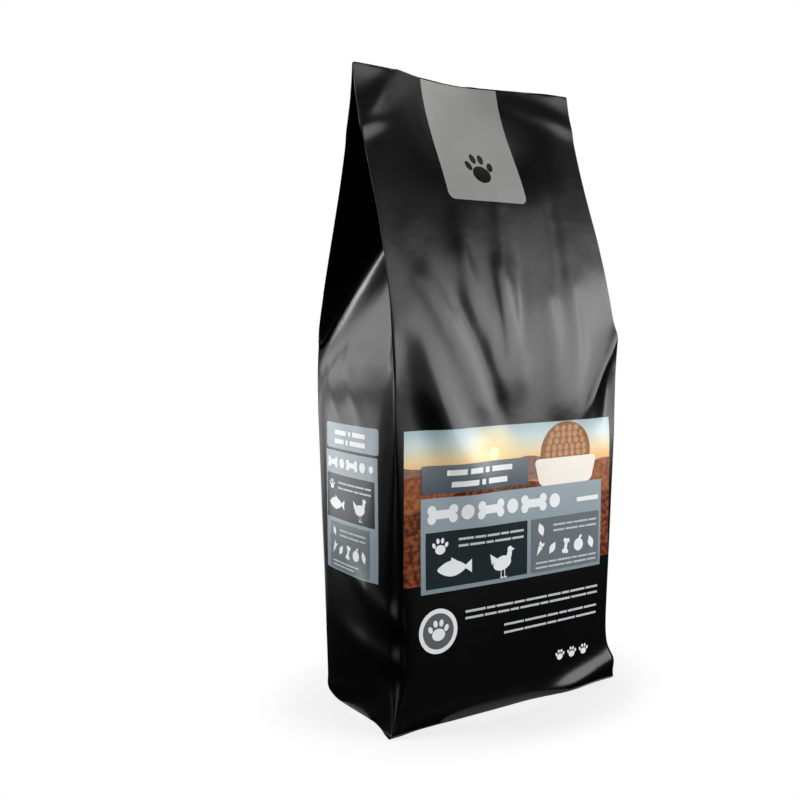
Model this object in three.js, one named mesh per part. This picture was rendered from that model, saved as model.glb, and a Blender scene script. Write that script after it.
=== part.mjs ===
import * as THREE from "three";

// A large side-gusset bag of dry pet food, filled, sealed and standing on its base.
// Z is up, the printed front faces -Y and the origin is on the floor under the middle. Sizes are in mm.
// Up to the shoulders the fill pushes the film out into a soft block. Above them the film is empty:
// front and back lean together to a flat seal, and each side gusset folds inward like a gable roof.

// The film
const bagWidth = 360;       // flat width of the front and back panels, and the length of the top seal
const bagHeight = 827;      // from the floor to the top of the seal
const gussetWidth = 190;    // width of each side gusset, laid flat
const sealThickness = 3;    // all plies of the top seal pressed together
const creaseThickness = 0.9; // a sharp film crease
const foldGap = 1.2;        // room left between the two halves of a closed gusset

// The filled body, left and right as seen from the front. "front" and "back" are the distances of the faces
// from the plane of the seal at the shoulder, "baseFront" that of the front at the base, and "ear" is how
// far the front corner of the base stands out. "straightness" is 0 for a face that curves up to the seal
// in an S, and 1 for one that runs straight.
const left = {
  sign: -1,
  shoulder: 430,
  front: 94,
  baseFront: 101.5,
  back: 95,
  cornerRadius: 26,
  ear: 15,
  straightness: 0.08,
};
const right = {
  sign: 1,
  shoulder: 468,
  front: 107,
  baseFront: 103.5,
  back: 86,
  cornerRadius: 17,
  ear: 9,
  straightness: 0.4,
};
const frontBulge = 5;       // how far the fill rounds each face outward
const backBulge = 7;
const sideBulge = 7;
const backRadius = 27;      // back corners of the filled part, low on the body
const backCornerInset = 3;  // the back corners draw in towards the base
const neckIn = 4;           // the empty part is pulled in this much halfway up
const lowFlat = 0.5;        // share of a gusset between its two ridges, low on the body
const shoulderFlat = 0.8;   // and at the shoulder
const sharpCorner = 0.3;    // what is left of the roundness of a corner where the film is creased

// The gable
const apexRise = 0.56;      // share of the empty part at which the two gusset ridges meet
const ridgeRadius = 9;      // roundness of a gusset ridge
const foldSoftness = 0.07;  // share of the empty part over which the gusset fold sets in
const sealBow = 31;         // the middle of the top seal bows back by this much
const sealBowReach = 165;   // and the bow dies out this far below the seal

// The base
const backRounding = 10;    // lower edge of the back
const sideRounding = 5;     // lower edge of the sides
const baseSpread = 4;       // the sides stand out this far near the floor
const frontReach = 230;     // the front, the sides and the back corners leave their base shape here
const sideReach = 200;
const backReach = 260;
const bottomCrease = 12;    // height of the crease where the front turns under
const creaseLip = 1.5;      // how far that crease stands out
const lipReach = 13;        // and how far up and down it does so
const underTurn = 2;        // how far the film turns under from the crease to the floor
const creaseDrop = 0.45;    // on the right half of the front the crease lies lower by this share
const earHeight = 78;       // the ears at the front corners of the base die out at this height
const earSlope = 50;        // the crease runs down to the floor over this length at each ear

// The seam down the middle of the back
const seamWidth = 14;
const seamHeight = 0.8;

// Soft folds of the front face: a line from one point to another, how wide, how high (negative is hollow).
// A point is how far it lies to the right of the middle, and how far above the line of the shoulders.
const frontFolds = [
  { from: [-125, 114], to: [-60, -33], width: 15, height: 3 },
  { from: [-66, 148], to: [-22, -22], width: 12, height: 2.5 },
  { from: [-8, 122], to: [8, -20], width: 12, height: 2.5 },
  { from: [62, 80], to: [72, -57], width: 13, height: 2.5 },
  { from: [110, 94], to: [98, -59], width: 12, height: 2 },
  { from: [-158, 38], to: [-134, -60], width: 17, height: -5 },
  { from: [172, 11], to: [128, -78], width: 11, height: 4 },
  { from: [166, -42], to: [164, -81], width: 13, height: -5 },
];

// Mesh density
const frontColumns = 24;
const backColumns = 5;      // on each side of the back seam
const sideColumns = [0, 5, 4, 5, 0]; // front corner, front leaf, fold, back leaf, back corner of a gusset
const bodyRows = 18;
const gableRows = 32;
const baseHeights = [0, 3, 7, bottomCrease, 18, 27, 40, 58];
const cornerSteps = 2;

const mix = (a, b, t) => a + (b - a) * t;

function ease(t) {
  const c = Math.min(1, Math.max(0, t));
  return c * c * (3 - 2 * c);
}

// A level is one height of the bag. "fill" runs from 0 at the floor to 1 at the shoulders, and "rise" from
// 0 at the shoulders to 1 at the seal. The two sides reach a level at different heights.
function levels() {
  const list = baseHeights.map((height) => ({ fill: height / left.shoulder, rise: 0 }));
  const start = baseHeights[baseHeights.length - 1] / left.shoulder;
  for (let i = 1; i <= bodyRows; i++) list.push({ fill: mix(start, 1, i / bodyRows), rise: 0 });
  for (let i = 1; i <= gableRows; i++) list.push({ fill: 1, rise: i / gableRows });
  return list;
}

function heightAt(side, level) {
  return side.shoulder * level.fill + (bagHeight - side.shoulder) * level.rise;
}

// How far the front and back stand apart, from 1 at the shoulders down to 0 at the seal.
function spread(side, level) {
  const down = 1 - level.rise;
  return mix(ease(down ** 0.85), down, side.straightness);
}

// Rounds the lower edge: how far the film is drawn in at this height.
function drawnIn(radius, height) {
  if (height >= radius) return 0;
  return radius - Math.sqrt(radius ** 2 - (radius - height) ** 2);
}

function frontLip(height) {
  const out = creaseLip * Math.exp(-(((height - bottomCrease) / lipReach) ** 2));
  const under = underTurn * Math.max(0, 1 - height / bottomCrease);
  return out - under;
}

// The two creases and the fold of one side gusset at one level.
function gusset(side, level) {
  const height = heightAt(side, level);
  const apart = spread(side, level);
  const frontDepth = mix(side.baseFront, side.front, ease(height / frontReach));
  const front = mix(sealThickness / 2, frontDepth, apart) + frontLip(height);
  const back = mix(sealThickness / 2, side.back, apart) - drawnIn(backRounding, height);
  const middle = (back - front) / 2;
  const half = (back + front) / 2;

  const bodyShare = mix(lowFlat, shoulderFlat, ease((level.fill - 0.5) * 2));
  const flat = Math.max(foldGap, gussetWidth * Math.min(bodyShare, 1 - level.rise / apexRise));
  return { front: middle - half, back: middle + half, middle, flat, inset: foldInset(side, level), height };
}

// How far the gusset is folded in. The fold starts softly, so it is averaged over a band of levels.
function foldInset(side, level) {
  const below = ((1 - level.fill) * side.shoulder) / (bagHeight - side.shoulder);
  const steps = [-1, -0.6, -0.2, 0.2, 0.6, 1];
  const insets = steps.map((step) => sharpInset(side, level.rise - below + step * foldSoftness));
  return insets.reduce((sum, inset) => sum + inset, 0) / steps.length;
}

function sharpInset(side, rise) {
  if (rise <= 0) return 0;
  const share = Math.min(1, rise);
  const half = mix(sealThickness / 2, (side.front + side.back) / 2, spread(side, { rise: share }));
  const flat = Math.max(foldGap, gussetWidth * (1 - share / apexRise));
  const slope = (gussetWidth - flat) / 2;
  const across = Math.max(0, Math.min(slope, half - creaseThickness - flat / 2));
  return Math.sqrt(slope ** 2 - across ** 2);
}

// Roundness of a vertical corner: nothing above the shoulder, the full radius low on the body.
function roundness(level, radius, top) {
  return radius * ease(1.15 * (top - level.fill)) ** 0.7;
}

function frontCorner(side, level) {
  const g = gusset(side, level);
  const low = Math.max(0, 1 - g.height / earHeight);
  const ear = side.ear * low ** 1.6 * Math.min(1, 0.8 + g.height / 15);
  const radius = roundness(level, side.cornerRadius, 0.96) * ease(1 - low * 1.05);
  return corner(side.sign * (bagWidth / 2 - neck(level) + ear), g.front, radius);
}

function backCorner(side, level) {
  const g = gusset(side, level);
  const radius = roundness(level, backRadius, 1.02);
  const inset = backCornerInset * ease(1 - g.height / backReach) + drawnIn(backRounding, g.height);
  return corner(side.sign * (bagWidth / 2 - neck(level) - inset), g.back, radius);
}

// A corner, and how far from it along each panel its rounding starts.
function corner(x, y, radius) {
  return { x, y, legX: Math.max(sharpCorner, 0.6 * radius), legY: Math.max(creaseThickness, 0.6 * radius) };
}

function neck(level) {
  return neckIn * Math.sin(Math.PI * level.rise) ** 2;
}

// The corner points of one side, from the front panel round the gusset to the back panel.
function sidePoints(side, level) {
  const g = gusset(side, level);
  const f = frontCorner(side, level);
  const b = backCorner(side, level);
  const s = side.sign;
  const foldX = s * (bagWidth / 2 - neck(level) - g.inset);
  const ridge = Math.min(ridgeRadius, 0.4 * g.flat, 0.2 * (gussetWidth - g.flat));
  const standOut = baseSpread * ease(1 - g.height / sideReach) - drawnIn(sideRounding, g.height);
  const fold = foldX + s * (standOut + 0.4 * sideBulge * ease(level.fill * 4) * (1 - ease(level.rise * 5)));
  const frontCut = 0.45 * Math.hypot(f.legX, f.legY);
  const backCut = 0.45 * Math.hypot(b.legX, b.legY);
  return [
    { x: f.x - s * f.legX, y: f.y, cut: frontCut },
    { x: f.x, y: f.y + f.legY, cut: frontCut },
    { x: fold, y: g.middle - g.flat / 2, cut: ridge },
    { x: fold, y: g.middle + g.flat / 2, cut: ridge },
    { x: b.x, y: b.y - b.legY, cut: backCut },
    { x: b.x - s * b.legX, y: b.y, cut: backCut },
  ];
}

// Rounds one corner point towards its neighbours.
function roundCorner(before, point, next) {
  const start = towards(point, before);
  const end = towards(point, next);
  const list = [];
  for (let i = 0; i <= cornerSteps; i++) {
    const t = i / cornerSteps;
    const a = (1 - t) ** 2;
    const b = 2 * t * (1 - t);
    list.push({ x: a * start.x + b * point.x + t * t * end.x, y: a * start.y + b * point.y + t * t * end.y });
  }
  return list;
}

function towards(point, other) {
  const length = Math.hypot(other.x - point.x, other.y - point.y);
  const share = Math.min(0.48, point.cut / length);
  return { x: mix(point.x, other.x, share), y: mix(point.y, other.y, share) };
}

function between(a, b, count) {
  const list = [];
  for (let i = 1; i <= count; i++) {
    const t = i / (count + 1);
    list.push({ x: mix(a.x, b.x, t), y: mix(a.y, b.y, t) });
  }
  return list;
}

// The closed outline of one level: front, right gusset, back with its seam, left gusset.
function outline(level) {
  const corners = [...sidePoints(right, level), ...sidePoints(left, level).reverse()];
  const columns = [...sideColumns, "back", ...sideColumns, "front"];
  const rounded = corners.map((point, i) => {
    const before = corners[(i + corners.length - 1) % corners.length];
    return roundCorner(before, point, corners[(i + 1) % corners.length]);
  });
  const points = [];
  columns.forEach((count, i) => {
    points.push(...rounded[i]);
    const a = rounded[i][cornerSteps];
    const b = rounded[(i + 1) % corners.length][0];
    if (count === "front") points.push(...between(a, b, frontColumns));
    else if (count === "back") points.push(...backPoints(a, b));
    else points.push(...between(a, b, count));
  });
  return points;
}

// The back panel, with a flat overlapped seam standing off its middle.
function backPoints(a, b) {
  const at = (x, lift) => ({ x, y: mix(a.y, b.y, (x - a.x) / (b.x - a.x)) + lift });
  const edge = seamWidth / 2;
  const seam = [at(edge + 1, 0), at(edge, seamHeight), at(-edge, seamHeight), at(-edge - 1, 0)];
  return [...between(a, seam[0], backColumns), ...seam, ...between(seam[3], b, backColumns)];
}

function foldHeight(fold, x, above) {
  const dx = fold.to[0] - fold.from[0];
  const dz = fold.to[1] - fold.from[1];
  const length = Math.hypot(dx, dz);
  const along = ((x - fold.from[0]) * dx + (above - fold.from[1]) * dz) / length ** 2;
  const off = ((x - fold.from[0]) * dz - (above - fold.from[1]) * dx) / length;
  const past = Math.max(0, -along, along - 1) * length;
  return fold.height * Math.exp(-((off / fold.width) ** 2) - (past / (1.6 * fold.width)) ** 2);
}

// Moves a point of an outline to its place in space: the faces bulge with the fill, the front takes its
// soft folds and the whole sheet bows back towards the seal.
function place(point, level) {
  const share = (point.x + bagWidth / 2) / bagWidth;
  const z = mix(heightAt(left, level), heightAt(right, level), share);
  const apart = mix(spread(left, level), spread(right, level), share);
  const half = bagWidth / 2;
  const acrossX = Math.max(0, 1 - (point.x / half) ** 2);
  const acrossY = Math.max(0, 1 - (point.y / 90) ** 2);
  const filled = ease(level.fill * 3) * (1 - ease(level.rise * 1.6));
  const onFront = ease((-point.y / Math.max(apart * 90, 1.4) - 0.8) * 5);
  const onBack = ease((point.y / Math.max(apart * 80, 1.4) - 0.8) * 5);

  let y = point.y - onFront * frontBulge * acrossX * filled + onBack * backBulge * acrossX * filled;
  if (onFront > 0) {
    const above = z - mix(left.shoulder, right.shoulder, share);
    const folds = frontFolds.reduce((sum, fold) => sum + foldHeight(fold, point.x, above), 0);
    y -= onFront * folds * Math.min(1, apart * 1.3);
  }
  const bow = sealBow * Math.cos((Math.PI / 2) * Math.min(1, Math.abs(point.x) / half)) ** 2.3;
  y += bow * ease(1 - (bagHeight - z) / sealBowReach);

  const low = Math.exp(-((z / 30) ** 2)) * onFront;
  const ear = point.x < 0 ? left.ear : right.ear;
  const nearEar = 1 - ease((half + ear - Math.abs(point.x)) / earSlope);
  const lowering = Math.max(0.85 * nearEar, creaseDrop * ease((point.x / half + 0.4) * 2));

  const bulging = sideBulge * acrossY * filled * ease((Math.abs(point.x) / half - 0.9) * 12);
  return [point.x + Math.sign(point.x) * bulging, y, z * (1 - low * lowering)];
}

// Closes the first or last outline with a flat lid.
function lid(places, offset, up) {
  const flat = places.map(([x, y]) => new THREE.Vector2(x, y));
  return THREE.ShapeUtils.triangulateShape(flat, []).flatMap(([a, b, c]) => {
    return up ? [offset + a, offset + b, offset + c] : [offset + a, offset + c, offset + b];
  });
}

// Puts the origin on the floor under the middle of the overall size.
function centreOverFloor(geometry) {
  geometry.computeBoundingBox();
  const middle = geometry.boundingBox.getCenter(new THREE.Vector3());
  geometry.translate(-middle.x, -middle.y, 0);
}

function bagGeometry() {
  const stack = levels();
  const outlines = stack.map(outline);
  const around = outlines[0].length;
  const places = outlines.map((points, i) => points.map((point) => place(point, stack[i])));
  const faces = [];
  for (let i = 0; i + 1 < stack.length; i++) {
    for (let j = 0; j < around; j++) {
      const k = (j + 1) % around;
      const a = i * around + j;
      const b = i * around + k;
      faces.push(a, b, b + around, a, b + around, a + around);
    }
  }
  const last = stack.length - 1;
  faces.push(...lid(places[0], 0, false), ...lid(places[last], last * around, true));
  const geometry = new THREE.BufferGeometry();
  geometry.setAttribute("position", new THREE.Float32BufferAttribute(places.flat(2), 3));
  geometry.setIndex(faces);
  geometry.computeVertexNormals();
  centreOverFloor(geometry);
  return geometry;
}

const film = new THREE.MeshStandardMaterial({ color: 0x161616, roughness: 0.35, metalness: 0 });
const bag = new THREE.Mesh(bagGeometry(), film);
bag.name = "food_bag";

const group = new THREE.Group();
group.add(bag);
export default group;
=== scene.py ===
from math import cos, exp, pi, radians, sin

import bmesh
import bpy
from mathutils import Matrix, Vector, noise
from mathutils.bvhtree import BVHTree


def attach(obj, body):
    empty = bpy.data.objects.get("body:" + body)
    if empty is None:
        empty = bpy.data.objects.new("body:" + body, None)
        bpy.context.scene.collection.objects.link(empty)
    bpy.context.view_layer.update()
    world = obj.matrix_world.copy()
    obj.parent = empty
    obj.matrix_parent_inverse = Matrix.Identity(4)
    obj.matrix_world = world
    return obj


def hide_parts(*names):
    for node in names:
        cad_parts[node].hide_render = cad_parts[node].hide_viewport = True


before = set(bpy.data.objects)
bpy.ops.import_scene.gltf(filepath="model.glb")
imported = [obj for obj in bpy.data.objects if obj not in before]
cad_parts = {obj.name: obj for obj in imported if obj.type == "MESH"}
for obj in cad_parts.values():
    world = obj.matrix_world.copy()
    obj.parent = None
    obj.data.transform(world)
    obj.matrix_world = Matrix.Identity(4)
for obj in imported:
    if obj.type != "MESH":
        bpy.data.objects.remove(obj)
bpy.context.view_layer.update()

MM = 0.001


# The film
# One large side-gusset bag of printed PET and PE laminate, black all over under a matt lacquer. It was
# folded from one sheet, welded down the back and closed at the foot, filled with dry food and sealed flat
# across the top. The fill rounds the lower half, and the empty upper half leans together to the seal.

SUBDIVISION = 2              # splits each CAD facet in 16, to about 3 mm
FILM_BLACK = "#060607"
FILM_ROUGHNESS = 0.23        # matt lacquer over a glossy film
FILM_IOR = 1.3               # the lacquer's open surface reflects less than solid PET does
ROUGHNESS_DRIFT = 0.04       # added where the lacquer is whole, taken off where it is rubbed
INK_DRIFT = 0.04             # share by which the ink gets denser and thinner

# Folds on the front: a line from (x, z) to (x, z) in mm, how wide it is and how high. A fold with a height
# below zero is a hollow.
FRONT_FOLDS = [
    ((-80, 525), (-26, 400), 13, -1.8),
    ((-12, 560), (-9, 470), 7, 0.8),
    ((26, 560), (17, 500), 12, -1.4),
    ((13, 655), (0, 575), 12, 1.0),
    ((-58, 610), (-60, 535), 12, 1.0),
    ((104, 650), (97, 585), 14, -1.2),
    ((-120, 408), (-92, 352), 32, 9.4),
    ((178, 482), (130, 398), 7, 2.0),
    ((112, 8), (186, 28), 15, 6.2),
    ((-174, 756), (-122, 808), 16, 2.8),
    ((-174, 744), (-158, 750), 8, 1.2),
    ((105, 800), (160, 784), 13, 1.6),
]

# Folds on the back, likewise
BACK_FOLDS = [
    ((-142, 570), (-100, 430), 13, 2.2),
    ((-78, 590), (-44, 450), 11, -1.6),
    ((48, 610), (38, 450), 12, 1.6),
    ((118, 590), (136, 440), 14, 2.2),
    ((158, 500), (128, 395), 11, -1.8),
]

# Folds on the left gusset, as lines from (y, z) to (y, z)
GUSSET_FOLDS = [
    ((30, 470), (-20, 385), 8, 0.9),
    ((62, 430), (28, 378), 9, 0.8),
    ((-66, 150), (-42, 166), 15, 3.0),
    ((-66, 92), (-30, 100), 16, 3.4),
    ((70, 16), (10, 30), 7, 1.2),
]
FACING = 0.5                 # a normal that leans more than this to one side lies on that side's folds
FOLD_END = 3                 # past its ends a fold fades out over so many of its widths

# The back ridge of the left gusset is rounded without a crease. It is given as a fold of height 1, and the
# vertices where that fold is higher than ROUNDED_FROM are smoothed, left of GUSSET_X.
SOFT_RIDGE = ((78, 466), (42, 556), 26, 1.0)
ROUNDED_FROM = 0.37
ROUNDING_PASSES = 90
GUSSET_X = -100

# Unevenness all over: height in mm, and lumps per metre along x, y and z. The fill pulls the film tight at
# TIGHT_Z and below, where only TIGHT_SHARE of it is left. From LOOSE_Z up it has its full height.
UNEVEN = [(1.1, (18, 18, 9)), (0.15, (46, 46, 26))]
TIGHT_SHARE = 0.3
TIGHT_Z = 330
LOOSE_Z = 480


def linear(hex_colour):
    """An sRGB hex colour as linear RGBA."""
    parts = [int(hex_colour[i:i + 2], 16) / 255 for i in (1, 3, 5)]
    return [c / 12.92 if c <= 0.04045 else ((c + 0.055) / 1.055) ** 2.4 for c in parts] + [1.0]


def add(tree, kind, settings=None, **inputs):
    """Adds a node. An input is a value, or the output of another node."""
    node = tree.nodes.new(kind)
    for name, value in (settings or {}).items():
        setattr(node, name, value)
    for name, value in inputs.items():
        socket = node.inputs[name.replace("_", " ")]
        if isinstance(value, bpy.types.NodeSocket):
            tree.links.new(value, socket)
        else:
            socket.default_value = value
    return node


def lumps_of(size):
    """Scale of a noise whose lumps are so many mm across."""
    return 1 / (size * MM)


def printed_film(name, ink, second=None, glow=None):
    """Laminate film with ink behind a matt lacquer. To the eye it is a deep, even colour with a satin sheen,
    which mirrors a lamp as a soft patch. The ink is one colour, or a list of (mm, colour) stops going up the
    bag. A second ink may lie in specks over it, and a glow is (x, z, radius in mm, colour)."""
    material = bpy.data.materials.new(name)
    material.use_nodes = True
    tree = material.node_tree
    shader = tree.nodes["Principled BSDF"]
    place = add(tree, "ShaderNodeTexCoord").outputs["Object"]

    stops = [(0, ink), (1000, ink)] if isinstance(ink, str) else ink
    first, last = stops[0][0], stops[-1][0]
    up = add(tree, "ShaderNodeSeparateXYZ", Vector=place).outputs["Z"]
    risen = add(tree, "ShaderNodeMapRange", Value=up, From_Min=first * MM, From_Max=last * MM)
    ramp = add(tree, "ShaderNodeValToRGB", Fac=risen.outputs["Result"])
    for i, (height, colour) in enumerate(stops):
        at = (height - first) / (last - first)
        stop = ramp.color_ramp.elements[i] if i < 2 else ramp.color_ramp.elements.new(at)
        stop.position = at
        stop.color = linear(colour)
    colour = ramp.outputs["Color"]

    # Specks of some 6 mm
    if second:
        specks = add(tree, "ShaderNodeTexNoise", Vector=place, Scale=lumps_of(6.25), Detail=4.0)
        share = add(tree, "ShaderNodeMapRange", Value=specks.outputs["Fac"], From_Min=0.42, From_Max=0.62)
        colour = blend(tree, share.outputs["Result"], colour, linear(second))

    # The glow fades out from its middle, seen from the front
    if glow:
        x, z, radius, tint = glow
        flat = add(tree, "ShaderNodeVectorMath", {"operation": "MULTIPLY"})
        tree.links.new(place, flat.inputs[0])
        flat.inputs[1].default_value = (1, 0, 1)
        off = add(tree, "ShaderNodeVectorMath", {"operation": "DISTANCE"})
        tree.links.new(flat.outputs["Vector"], off.inputs[0])
        off.inputs[1].default_value = (x * MM, 0, z * MM)
        share = add(tree, "ShaderNodeMapRange", {"interpolation_type": "SMOOTHERSTEP"},
                    Value=off.outputs["Value"], From_Max=radius * MM, To_Min=0.9, To_Max=0.0)
        colour = blend(tree, share.outputs["Result"], colour, linear(tint))

    # The ink's density drifts over some 40 mm
    drift = add(tree, "ShaderNodeTexNoise", Vector=place, Scale=lumps_of(40), Detail=2.0)
    density = add(tree, "ShaderNodeMapRange", Value=drift.outputs["Fac"],
                  To_Min=1 - INK_DRIFT, To_Max=1 + INK_DRIFT)
    uneven = add(tree, "ShaderNodeVectorMath", {"operation": "SCALE"}, Scale=density.outputs["Result"])
    tree.links.new(colour, uneven.inputs[0])
    tree.links.new(uneven.outputs["Vector"], shader.inputs["Base Color"])

    # The lacquer is rubbed a little smoother in patches of some 60 mm
    rubbed = add(tree, "ShaderNodeTexNoise", Vector=place, Scale=lumps_of(62.5), Detail=3.0)
    roughness = add(tree, "ShaderNodeMapRange", Value=rubbed.outputs["Fac"],
                    To_Min=FILM_ROUGHNESS - ROUGHNESS_DRIFT, To_Max=FILM_ROUGHNESS + ROUGHNESS_DRIFT)
    tree.links.new(roughness.outputs["Result"], shader.inputs["Roughness"])

    # Faint lumps of some 14 mm, where the food presses on the film
    food = add(tree, "ShaderNodeTexNoise", Vector=place, Scale=lumps_of(14.3), Detail=1.0)
    bump = add(tree, "ShaderNodeBump", Height=food.outputs["Fac"], Strength=0.25, Distance=0.5 * MM)
    tree.links.new(bump.outputs["Normal"], shader.inputs["Normal"])
    shader.inputs["IOR"].default_value = FILM_IOR
    return material


def blend(tree, share, under, over):
    """The colour under, turning into the colour over where share is 1."""
    mix = add(tree, "ShaderNodeMix", {"data_type": "RGBA"})
    tree.links.new(share, mix.inputs["Factor"])
    tree.links.new(under, mix.inputs["A"])
    mix.inputs["B"].default_value = over
    return mix.outputs["Result"]


def fold_height(across, z, fold):
    """Height in mm of one fold at a place on the front, or on a gusset."""
    (start, z0), (end, z1), width, height = fold
    run, fall = end - start, z1 - z0
    length = (run * run + fall * fall) ** 0.5
    along = ((across - start) * run + (z - z0) * fall) / length ** 2
    off = ((across - start) * fall - (z - z0) * run) / length
    past = max(0.0, -along, along - 1.0) * length
    return height * exp(-(off / width) ** 2 - (past / (FOLD_END * width)) ** 2)


def crumple(point, normal):
    """How far a point of the film moves along its normal, in mm, for the folds and the unevenness."""
    x, y, z = point / MM
    height = 0.0
    if normal.y < -FACING:
        height += sum(fold_height(x, z, fold) for fold in FRONT_FOLDS)
    if normal.y > FACING:
        height += sum(fold_height(x, z, fold) for fold in BACK_FOLDS)
    if normal.x < -FACING:
        height += sum(fold_height(y, z, fold) for fold in GUSSET_FOLDS)
    loose = min(1.0, max(0.0, (z - TIGHT_Z) / (LOOSE_Z - TIGHT_Z)))
    share = TIGHT_SHARE + (1 - TIGHT_SHARE) * loose
    for lift, (along_x, along_y, along_z) in UNEVEN:
        where = Vector((point.x * along_x, point.y * along_y, point.z * along_z))
        height += lift * share * noise.noise(where)
    return height


cad_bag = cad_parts["food_bag"]
shell = bmesh.new()
shell.from_mesh(cad_bag.data)
bmesh.ops.remove_doubles(shell, verts=shell.verts, dist=0.01 * MM)
bmesh.ops.join_triangles(
    shell, faces=shell.faces, angle_face_threshold=radians(60), angle_shape_threshold=radians(80))
coarse = bpy.data.objects.new("coarse_film", bpy.data.meshes.new("coarse_film"))
shell.to_mesh(coarse.data)
shell.free()
bpy.context.scene.collection.objects.link(coarse)
finer = coarse.modifiers.new("finer", "SUBSURF")
finer.levels = finer.render_levels = SUBDIVISION
depsgraph = bpy.context.evaluated_depsgraph_get()
film_mesh = bpy.data.meshes.new_from_object(coarse.evaluated_get(depsgraph))
bpy.data.objects.remove(coarse)

# The ridge is rounded first, and then the whole film is folded, with its foot kept on the floor
rounder = bmesh.new()
rounder.from_mesh(film_mesh)
ridge = [v for v in rounder.verts
         if v.co.x < GUSSET_X * MM and fold_height(v.co.y / MM, v.co.z / MM, SOFT_RIDGE) > ROUNDED_FROM]
for _ in range(ROUNDING_PASSES):
    bmesh.ops.smooth_vert(
        rounder, verts=ridge, factor=0.5, use_axis_x=True, use_axis_y=True, use_axis_z=True)
rounder.to_mesh(film_mesh)
rounder.free()
moves = [crumple(v.co, v.normal) * MM * v.normal for v in film_mesh.vertices]
for vertex, move in zip(film_mesh.vertices, moves):
    vertex.co += move
    vertex.co.z = max(vertex.co.z, 0.0)
film_mesh.shade_smooth()
film = bpy.data.objects.new("film", film_mesh)
bpy.context.scene.collection.objects.link(film)
film_mesh.materials.clear()
film_mesh.materials.append(printed_film("black_laminate", FILM_BLACK))
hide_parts("food_bag")
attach(film, "root")


# The print
# Fields of ink on the front and on the left gusset, printed on the flat film before it was folded, so they
# follow every fold. Each is laid on the film as a thin coat of its own, one over the other.

CELL = 4.5 * MM              # the coats are cut this fine, to follow the film
COAT = 0.1 * MM              # and stand off it by this much each
FIRST_COAT = 1.5             # the first one stands off by so many coats, clear of the film's facets
SHAPE_STEP = 0.1             # share of a coat between shapes of one ink, so that none lie in one plane
SHAPE_STEPS = 9

# Each ink is one colour, or stops of (height in mm, colour)
INKS = {
    "bare_grey": "#8a8b88",
    "evening_sky": [
        (286, "#b9764a"), (308, "#e39a4e"), (322, "#ecb872"),
        (338, "#e6d2a6"), (356, "#c3d2cf"), (375, "#9fb6bd"),
    ],
    "sun": "#fff3c4",
    "far_hills": "#8c6f63",
    "rust_hills": "#7d4426",
    "brown_hills": "#4c2213",
    "slate_blue": [(170, "#7d8b93"), (290, "#94a0a7")],
    "slate_tab": [(295, "#4b555d"), (331, "#6d757a")],
    "ink_dark": "#1b2629",
    "slate_grey": "#656d72",
    "pale": "#e4e7e8",
    "cream": "#ece5db",
    "kibble": "#8d5d3b",
    "kibble_light": "#b58a60",
    "badge_grey": "#5c5e5f",
    "word_grey": "#b9bec0",
    "black": "#111112",
}
SPECKS = {"rust_hills": "#a0623c", "brown_hills": "#83492b", "far_hills": "#7c5f58"}
SUN = (-34, 339)
GLOWS = {"evening_sky": (*SUN, 60, "#f8dfa0")}


def flat_patch(x0, x1, z0, z1, corner=0.0):
    """A rectangle of print with rounded corners, in mm."""
    shape = bmesh.new()
    bmesh.ops.create_grid(shape, x_segments=1, y_segments=1, size=0.5)
    bmesh.ops.scale(shape, vec=(x1 - x0, z1 - z0, 1), verts=shape.verts)
    bmesh.ops.translate(shape, vec=((x0 + x1) / 2, (z0 + z1) / 2, 0), verts=shape.verts)
    if corner:
        bmesh.ops.bevel(shape, geom=shape.verts, offset=corner, offset_type="OFFSET", segments=6,
                        profile=0.5, affect="VERTICES", material=-1)
    return shape


def disc(x, z, width, height=None, turn=0.0, sides=40, pinch=0.0):
    """A round, oval or, with pinch, pointed patch of print. Three sides make a triangle that points up."""
    shape = bmesh.new()
    bmesh.ops.create_circle(shape, cap_ends=True, segments=sides, radius=0.5)
    for vertex in shape.verts:
        vertex.co.x *= 1 - pinch * (2 * abs(vertex.co.y)) ** 2
    bmesh.ops.scale(shape, vec=(width, height or width, 1), verts=shape.verts)
    bmesh.ops.rotate(shape, matrix=Matrix.Rotation(radians(turn), 3, "Z"), verts=shape.verts)
    bmesh.ops.translate(shape, vec=(x, z, 0), verts=shape.verts)
    bmesh.ops.recalc_face_normals(shape, faces=shape.faces)
    return shape


def hills(x0, x1, base, crest):
    """Land from a base line up to a crest, which is a function of x."""
    shape = bmesh.new()
    bmesh.ops.create_grid(shape, x_segments=90, y_segments=1, size=0.5)
    for vertex in shape.verts:
        x = x0 + (vertex.co.x + 0.5) * (x1 - x0)
        vertex.co = (x, crest(x) if vertex.co.y > 0 else base, 0)
    return shape


def text_line(x0, x1, z, height, words):
    """Plain bars where a line of words would stand. Words holds each bar's share of the line."""
    gap = 0.7 * height
    room = (x1 - x0) - gap * (len(words) - 1)
    bars = []
    x = x0
    for word in words:
        width = room * word / sum(words)
        bars.append(flat_patch(x, x + width, z - height / 2, z + height / 2))
        x += width + gap
    return bars


def bone(x, z, length, turn=0.0):
    """A bar with two round knobs on each end. This and the next shapes are drawn in shares of their size."""
    parts = [flat_patch(-0.36 * length, 0.36 * length, -0.13 * length, 0.13 * length)]
    for end in (-1, 1):
        for way in (-1, 1):
            parts.append(disc(end * 0.37 * length, way * 0.13 * length, 0.3 * length))
    return moved(parts, x, z, turn)


def paw(x, z, width):
    parts = [disc(0, -0.14 * width, 0.62 * width, 0.5 * width)]
    for side, lift, tilt in ((-0.38, 0.1, 25), (-0.14, 0.32, 8), (0.14, 0.32, -8), (0.38, 0.1, -25)):
        parts.append(disc(side * width, lift * width, 0.2 * width, 0.29 * width, tilt))
    return moved(parts, x, z, 0)


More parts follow.
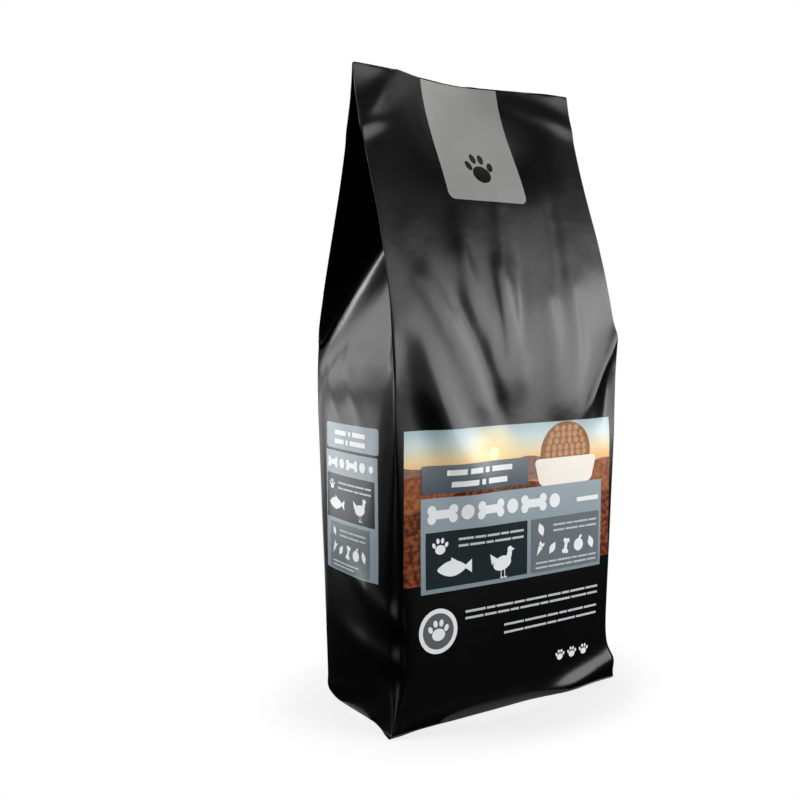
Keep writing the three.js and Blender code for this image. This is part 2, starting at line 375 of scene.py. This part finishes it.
def fish(x, z, length):
    body = disc(-0.1 * length, 0, 0.36 * length, 0.78 * length, 90, pinch=0.45)
    tail = disc(0.36 * length, 0, 0.36 * length, 0.3 * length, 90, sides=3)
    fin = disc(-0.08 * length, 0.17 * length, 0.22 * length, 0.18 * length, 25, sides=3)
    return moved([body, tail, fin], x, z, 0)


def hen(x, z, height):
    body = disc(0, 0, 0.72 * height, 0.46 * height, 12)
    neck = disc(0.28 * height, 0.24 * height, 0.2 * height, 0.42 * height, -12)
    head = disc(0.31 * height, 0.42 * height, 0.2 * height)
    beak = disc(0.44 * height, 0.41 * height, 0.1 * height, 0.14 * height, -90, sides=3)
    tail = disc(-0.36 * height, 0.16 * height, 0.34 * height, 0.44 * height, 35, sides=3)
    parts = [body, neck, head, beak, tail]
    for x_leg in (-0.04 * height, 0.1 * height):
        left, right = x_leg - 0.015 * height, x_leg + 0.015 * height
        heel, toe = x_leg - 0.03 * height, x_leg + 0.09 * height
        parts.append(flat_patch(left, right, -0.46 * height, -0.15 * height))
        parts.append(flat_patch(heel, toe, -0.49 * height, -0.45 * height))
    return moved(parts, x, z, 0)


def leaf(x, z, length, turn=0.0):
    return moved([disc(0, 0, 0.5 * length, length, pinch=0.95)], x, z, turn)


def fruit(x, z, width):
    return [disc(x, z, width), *leaf(x + 0.2 * width, z + 0.62 * width, 0.5 * width, -50)]


def carrot(x, z, length):
    parts = [disc(0, 0, 0.42 * length, 0.8 * length, 180, sides=3)]
    parts += leaf(-0.1 * length, 0.36 * length, 0.4 * length, 25)
    parts += leaf(0.1 * length, 0.36 * length, 0.4 * length, -25)
    return moved(parts, x, z, -30)


def moved(parts, x, z, turn):
    """Turns shapes drawn round the origin and puts them in their place."""
    for part in parts:
        bmesh.ops.rotate(part, matrix=Matrix.Rotation(radians(turn), 3, "Z"), verts=part.verts)
        bmesh.ops.translate(part, vec=(x, z, 0), verts=part.verts)
    return parts


film_surface = BVHTree.FromPolygons(
    [v.co for v in film_mesh.vertices], [p.vertices for p in film_mesh.polygons])


def lay_on_film(shape, quarter_turn, coat):
    """Cuts a flat shape into small cells and lays it on the film, from the front or a quarter turn on, from
    the left."""
    bmesh.ops.scale(shape, vec=(MM, MM, MM), verts=shape.verts)
    for axis in (0, 1):
        lowest = min(v.co[axis] for v in shape.verts)
        highest = max(v.co[axis] for v in shape.verts)
        normal = (1, 0, 0) if axis == 0 else (0, 1, 0)
        for i in range(int(lowest // CELL) + 1, int(highest // CELL) + 1):
            line = Vector(normal) * (i * CELL)
            bmesh.ops.bisect_plane(shape, geom=shape.verts[:] + shape.edges[:] + shape.faces[:],
                                   plane_co=line, plane_no=normal)
    towards_film = Matrix.Rotation(radians(-90 * quarter_turn), 3, "Z")
    upright = towards_film @ Matrix.Rotation(radians(90), 3, "X")
    bmesh.ops.rotate(shape, matrix=upright, verts=shape.verts)
    inward = towards_film @ Vector((0, 1, 0))
    for vertex in shape.verts:
        hit, normal, _, _ = film_surface.ray_cast(vertex.co - inward, inward)
        if hit is None:
            raise ValueError(f"the print at {vertex.co} misses the film")
        vertex.co = hit + normal * COAT * (coat + FIRST_COAT)


def press(name, coats, quarter_turn=0):
    """Makes one print from its coats, each an ink and a list of shapes, laid one over the other."""
    mesh = bpy.data.meshes.new(name)
    whole = bmesh.new()
    for coat, (ink, shapes) in enumerate(coats):
        inked = ink + "_ink"
        if inked not in bpy.data.materials:
            printed_film(inked, INKS[ink], SPECKS.get(ink), GLOWS.get(ink))
        if inked not in mesh.materials:
            mesh.materials.append(bpy.data.materials[inked])
        for i, shape in enumerate(shapes):
            lay_on_film(shape, quarter_turn, coat + SHAPE_STEP * (i % SHAPE_STEPS))
            for face in shape.faces:
                face.material_index = mesh.materials.find(inked)
            part = bpy.data.meshes.new("part")
            shape.to_mesh(part)
            shape.free()
            whole.from_mesh(part)
            bpy.data.meshes.remove(part)
    whole.to_mesh(mesh)
    whole.free()
    mesh.shade_smooth()
    coated = bpy.data.objects.new(name, mesh)
    bpy.context.scene.collection.objects.link(coated)
    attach(coated, "root")


# The light tab that runs down from the top seal, with a plain paw
press("top_tab", [
    ("bare_grey", [flat_patch(-62, 66, 663, 700, 10), flat_patch(-62, 66, 685, 825)]),
    ("black", paw(2, 706, 46)),
])

# The picture and the panel of facts over it: hills at sunset, and a bowl with a heap of pellets, which lie
# in rows and are turned this way and that
BOWL = (88, 290)
BOWL_FLARE = 0.006           # share of its width that the bowl gains with each mm of height
HEAP_FOOT = 331
HEAP_HALF = 38               # half the length of the lowest row
HEAP = (88, 84)              # the dark oval behind the pellets
PELLET = (9, 7.6)
PELLET_PITCH = 10
PELLET_RISE = 8.5
PELLET_ROWS = 5
bowl = flat_patch(-46, 46, 0, 36, 7)
for vertex in bowl.verts:
    vertex.co.x *= 1 + BOWL_FLARE * vertex.co.y
pellets = []
for row in range(PELLET_ROWS):
    half = HEAP_HALF * (1 - (row / PELLET_ROWS) ** 2) ** 0.5
    count = int(2 * half / PELLET_PITCH)
    for i in range(count):
        across = BOWL[0] + 2 * half * ((i + 0.5) / count - 0.5)
        pellets.append(disc(across, HEAP_FOOT + PELLET_RISE * row, *PELLET, 67 * i + 40 * row))
press("front_print", [
    ("evening_sky", [flat_patch(-166, 170, 182, 374.5)]),
    ("sun", [disc(*SUN, 17)]),
    ("far_hills", [hills(-166, 170, 300, lambda x: 324 + 7 * sin(x / 34 + 0.5) + 2 * sin(x / 11))]),
    ("rust_hills", [hills(-166, 170, 240, lambda x: 309 + 13 * sin(x / 47 - 2.4) + 2.5 * sin(x / 15))]),
    ("brown_hills", [hills(-166, 170, 182, lambda x: 285 + 15 * cos(x / 58 + 0.4) + 3 * sin(x / 19))]),
    ("kibble", [disc(BOWL[0], HEAP_FOOT + 1, *HEAP)]),
    ("kibble_light", pellets),
    ("cream", moved([bowl], *BOWL, 0)),
    ("slate_tab", [flat_patch(-142, 22, 295, 330.5, 4)]),
    ("slate_blue", [flat_patch(-143, 154, 170.5, 290)]),
    ("ink_dark", [flat_patch(-136, 21.5, 176, 247)]),
    ("slate_grey", [flat_patch(28, 150, 175, 247)]),
    ("pale", [
        *text_line(-108, -5, 320.5, 7, (4, 3, 1, 5)),
        *text_line(-101, -13, 305.5, 7, (6, 1, 5)),
        *bone(-112, 269, 42), disc(-76, 269, 19), *bone(-40, 269, 42),
        disc(-4, 269, 19), *bone(32, 269, 42), disc(68, 269, 19),
        *text_line(108, 148, 266, 6, (1,)),
        *paw(-115, 228, 24),
        *fish(-92, 199, 56), *hen(-20, 196, 40),
        *leaf(45, 232, 20, 20),
        *carrot(42, 205, 22), *leaf(65, 205, 19, -35), *bone(89, 205, 20, 80), *fruit(112, 204, 17),
        *leaf(135, 205, 20, 20),
        *paw(84, 54, 17), *paw(106, 54, 17), *paw(128, 54, 17),
    ]),
    ("word_grey", [
        *text_line(-88, 15, 235, 3, (7, 5, 6, 4, 7)),
        *text_line(-88, 15, 226.5, 3, (4, 6, 3, 7, 5)),
        *text_line(66, 145, 236, 2.6, (6, 3, 7, 4)),
        *text_line(66, 145, 228.5, 2.6, (5, 6, 3, 5)),
        *text_line(36, 145, 187.5, 2.4, (6, 4, 7, 3, 5, 4)),
        *text_line(36, 145, 181, 2.4, (5, 7, 3, 6, 4)),
        *text_line(-78, 150, 141, 3, (7, 3, 6, 4, 8, 5, 3, 6, 5)),
        *text_line(-78, 150, 132.5, 3, (6, 4, 4, 3, 7, 3, 8, 6, 4)),
        *text_line(-16, 149, 114, 3, (7, 8, 4, 3, 6, 5)),
        *text_line(-16, 149, 103.5, 3, (6, 7, 3, 6, 7)),
    ]),
])

# The round badge with a paw
BADGE = (-118, 122)
press("round_badge", [
    ("pale", [disc(*BADGE, 57)]),
    ("badge_grey", [disc(*BADGE, 45.5)]),
    ("pale", paw(*BADGE, 31)),
])

# The label on the left gusset
press("side_print", [
    ("slate_blue", [flat_patch(-62, 60, 343, 376, 4), flat_patch(-64, 58, 183, 339.5)]),
    ("ink_dark", [flat_patch(-61, 52, 251.3, 309.5)]),
    ("slate_grey", [flat_patch(-52, 42, 185, 246.5)]),
    ("pale", [
        *text_line(-38, 34, 364, 6, (5, 1, 5)),
        *text_line(-38, 34, 352.5, 6, (4, 1, 6)),
        *bone(-44, 324.5, 26), disc(-20, 324.5, 13), *bone(4, 324.5, 26),
        disc(28, 324.5, 13), disc(46, 324.5, 9),
        *paw(-46, 295, 15),
        *fish(-32, 271, 42), *hen(22, 270, 30),
        *leaf(-40, 234, 13, 20),
        *carrot(-41, 211, 18), *leaf(-23, 211, 16, -35), *bone(-5, 211, 17, 80), *fruit(13, 210, 14),
        *leaf(30, 211, 17, 20),
    ]),
    ("word_grey", [
        *text_line(-30, 46, 299, 2.4, (7, 5, 6, 4)),
        *text_line(-30, 46, 292, 2.4, (4, 6, 3, 7)),
        *text_line(-26, 34, 237, 2.2, (6, 3, 7)),
        *text_line(-26, 34, 230.5, 2.2, (5, 6, 3)),
        *text_line(-44, 20, 195, 2, (6, 4, 7, 3)),
        *text_line(-44, 10, 190, 2, (5, 4, 6)),
    ]),
], quarter_turn=1)


# The camera
# It stands where the photograph was taken from: left of the front, a little above the middle of the bag,
# looking slightly down. Its place, turn and lens were fitted to the bag's corners and edges.

camera_data = bpy.data.cameras.new("camera")
camera = bpy.data.objects.new("camera", camera_data)
bpy.context.scene.collection.objects.link(camera)
camera_data.sensor_width = 36.0
camera_data.lens = 44.787
camera.location = (-0.83797, -1.06970, 0.51192)
camera.rotation_euler = (radians(85.24), 0.0, radians(-34.18))
bpy.context.scene.camera = camera


# The floor and the studio
# A pale painted floor in a white room. The film mirrors its surroundings, so soft boxes stand where it
# shines, and black cards and a black cloth on the floor stand where it stays dark. The camera sees neither
# cards nor cloth.

FLOOR_REACH = 6.0
SHADOW_REACH = (0.32, 0.24)          # the painted floor shows so far, sideways and to front and back
WHITE_FROM = 0.7                     # at this share of that reach the floor starts to turn white
WHITE_AT_BAG = 0.75                  # and up to there it is this white already, to keep the shadow faint
CLOTH_HOLE = (0.19, 0.12)            # the cloth is cut out under the bag
CLOTH_REACH = 2.6
CLOTH_HEIGHT = 0.004
ROOM_LIGHT = 0.12                    # what the white room itself gives to the bag and the floor

# Behind on the right a wedge of the cloth is cut away, so that the bag mirrors the white floor there
CLOTH_OPEN = Vector((0.57, 0.82, 0))
CLOTH_OPEN_COSINE = 0.7


def point_at(thing, place, target):
    thing.location = place
    thing.rotation_euler = (Vector(target) - Vector(place)).to_track_quat("-Z", "Y").to_euler()


def soft_box(name, place, target, width, height, brightness):
    """An area lamp. Its brightness is that of its own face, where 1 is as bright as the white room."""
    data = bpy.data.lights.new(name, "AREA")
    data.shape = "RECTANGLE"
    data.size = width
    data.size_y = height
    data.energy = brightness * width * height * pi
    lamp = bpy.data.objects.new(name, data)
    bpy.context.scene.collection.objects.link(lamp)
    lamp.visible_camera = False
    point_at(lamp, place, target)


def studio_piece(name, shape):
    mesh = bpy.data.meshes.new(name)
    shape.to_mesh(mesh)
    shape.free()
    piece = bpy.data.objects.new(name, mesh)
    bpy.context.scene.collection.objects.link(piece)
    return piece


def black_card(name, place, target, width, height):
    """A black card, which the film mirrors and the camera doesn't see."""
    shape = bmesh.new()
    bmesh.ops.create_grid(shape, x_segments=1, y_segments=1, size=0.5)
    bmesh.ops.scale(shape, vec=(width, height, 1), verts=shape.verts)
    card = studio_piece(name, shape)
    point_at(card, place, target)
    card.visible_camera = False
    return card


# In front on the right, for the leaning upper half, its folds and the right edge
soft_box("front_box", (1.36, -1.95, 0.79), (0.0, -0.1, 0.6), 1.3, 1.36, 8.6)
soft_box("front_high_box", (1.36, -1.95, 1.8), (0.0, -0.1, 0.65), 1.5, 0.6, 4.2)
soft_box("front_strip_box", (1.9, -1.4, 0.8), (0.0, -0.1, 0.6), 0.3, 1.4, 13.0)

# Behind on the left, for the gusset, its foot and the rounded ridge over it
soft_box("back_box", (-1.3, 1.72, 1.25), (0.0, 0.0, 0.62), 1.3, 1.5, 3.3)
soft_box("back_low_box", (-0.75, 0.85, 0.19), (-0.19, 0.0, 0.25), 0.6, 0.34, 4.0)
soft_box("ridge_box", (-1.85, 1.05, 1.52), (-0.17, 0.0, 0.6), 0.9, 0.58, 24.0)

# On the left, low, for the front half of the gusset, and above, for the shadow on the floor
soft_box("left_low_box", (-1.2, -0.73, 0.2), (-0.18, -0.09, 0.25), 0.5, 0.35, 2.6)
soft_box("top_box", (0.45, -0.75, 2.7), (0.0, 0.0, 0.5), 1.2, 1.2, 1.6)

# For the sides that the camera doesn't see
soft_box("right_box", (2.1, 0.75, 1.45), (0.1, 0.0, 0.6), 1.0, 1.2, 4.0)
soft_box("behind_box", (0.4, 2.3, 1.5), (0.0, 0.0, 0.6), 1.4, 1.2, 4.0)

# Black above the front boxes, on the left, under the camera, flat over the floor on the left, and low on
# the right
cards = [
    black_card("front_card", (1.4, -1.7, 2.74), (0.0, 0.0, 0.7), 2.8, 1.22),
    black_card("left_card", (-1.75, -0.75, 0.8), (0.0, 0.0, 0.7), 1.6, 1.6),
    black_card("camera_card", (-1.15, -1.75, 0.3), (0.0, 0.0, 0.4), 1.6, 0.9),
    black_card("left_shelf", (-0.85, -0.5, 0.39), (-0.85, -0.5, 0.0), 0.8, 0.9),
    black_card("right_card", (1.7, -0.35, 0.3), (0.0, 0.0, 0.3), 1.0, 0.7),
]

black_cloth = bmesh.new()
bmesh.ops.create_circle(black_cloth, segments=64, radius=1.0)
bmesh.ops.scale(black_cloth, vec=(*CLOTH_HOLE, 1), verts=black_cloth.verts)
bmesh.ops.create_circle(black_cloth, segments=64, radius=CLOTH_REACH)
bmesh.ops.bridge_loops(black_cloth, edges=black_cloth.edges)
opening = [f for f in black_cloth.faces
           if f.calc_center_median().normalized().dot(CLOTH_OPEN) > CLOTH_OPEN_COSINE]
bmesh.ops.delete(black_cloth, geom=opening, context="FACES")
floor_cloth = studio_piece("floor_cloth", black_cloth)
floor_cloth.location.z = CLOTH_HEIGHT
floor_cloth.visible_camera = False
floor_cloth.visible_shadow = False

floor_shape = bmesh.new()
bmesh.ops.create_circle(floor_shape, cap_ends=True, segments=64, radius=FLOOR_REACH)
floor = studio_piece("floor", floor_shape)


def studio_floor():
    """Pale matt paint, which takes the soft shadow of the bag and turns into the white of the room further
    out, so that the eye finds no edge."""
    material = bpy.data.materials.new("studio_floor")
    material.use_nodes = True
    tree = material.node_tree
    shader = tree.nodes["Principled BSDF"]
    shader.inputs["Base Color"].default_value = linear("#f2f2f2")
    shader.inputs["Roughness"].default_value = 0.9
    shader.inputs["Specular IOR Level"].default_value = 0.0
    place = add(tree, "ShaderNodeTexCoord").outputs["Object"]
    oval = add(tree, "ShaderNodeVectorMath", {"operation": "DIVIDE"})
    tree.links.new(place, oval.inputs[0])
    oval.inputs[1].default_value = (*SHADOW_REACH, 1.0)
    away = add(tree, "ShaderNodeVectorMath", {"operation": "LENGTH"})
    tree.links.new(oval.outputs["Vector"], away.inputs[0])
    fade = add(tree, "ShaderNodeMapRange", {"interpolation_type": "SMOOTHSTEP"}, Value=away.outputs["Value"],
               From_Min=WHITE_FROM, From_Max=1.0, To_Min=WHITE_AT_BAG)
    white = add(tree, "ShaderNodeEmission", Color=(1, 1, 1, 1), Strength=1.0)
    seen = background_rays(tree)
    both = add(tree, "ShaderNodeMath", {"operation": "MULTIPLY"})
    tree.links.new(fade.outputs["Result"], both.inputs[0])
    tree.links.new(seen, both.inputs[1])
    mixed = add(tree, "ShaderNodeMixShader")
    tree.links.new(both.outputs["Value"], mixed.inputs["Fac"])
    tree.links.new(shader.outputs["BSDF"], mixed.inputs[1])
    tree.links.new(white.outputs["Emission"], mixed.inputs[2])
    tree.links.new(mixed.outputs["Shader"], tree.nodes["Material Output"].inputs["Surface"])
    return material


def background_rays(tree):
    """1 for the rays that show the background: camera, glossy and transmission."""
    path = add(tree, "ShaderNodeLightPath")
    first = add(tree, "ShaderNodeMath", {"operation": "MAXIMUM"})
    tree.links.new(path.outputs["Is Camera Ray"], first.inputs[0])
    tree.links.new(path.outputs["Is Glossy Ray"], first.inputs[1])
    second = add(tree, "ShaderNodeMath", {"operation": "MAXIMUM"})
    tree.links.new(first.outputs["Value"], second.inputs[0])
    tree.links.new(path.outputs["Is Transmission Ray"], second.inputs[1])
    return second.outputs["Value"]


floor.data.materials.append(studio_floor())

# Black felt, which gives back next to no light, so that what mirrors it stays black
felt = bpy.data.materials.new("black_felt")
felt.use_nodes = True
felt_shader = felt.node_tree.nodes["Principled BSDF"]
felt_shader.inputs["Base Color"].default_value = linear("#050505")
felt_shader.inputs["Roughness"].default_value = 1.0
felt_shader.inputs["Specular IOR Level"].default_value = 0.0
for card in (*cards, floor_cloth):
    card.data.materials.append(felt)

# The room is white where it is seen or mirrored, and gives the rest only a little light
room = bpy.data.worlds.new("room")
room.use_nodes = True
bpy.context.scene.world = room
room_tree = room.node_tree
lit = room_tree.nodes["Background"]
lit.inputs["Color"].default_value = (1, 1, 1, 1)
lit.inputs["Strength"].default_value = ROOM_LIGHT
shown = add(room_tree, "ShaderNodeBackground", Color=(1, 1, 1, 1), Strength=1.0)
chosen = add(room_tree, "ShaderNodeMixShader")
room_tree.links.new(background_rays(room_tree), chosen.inputs["Fac"])
room_tree.links.new(lit.outputs["Background"], chosen.inputs[1])
room_tree.links.new(shown.outputs["Background"], chosen.inputs[2])
room_tree.links.new(chosen.outputs["Shader"], room_tree.nodes["World Output"].inputs["Surface"])

bpy.context.scene.view_settings.view_transform = "Standard"
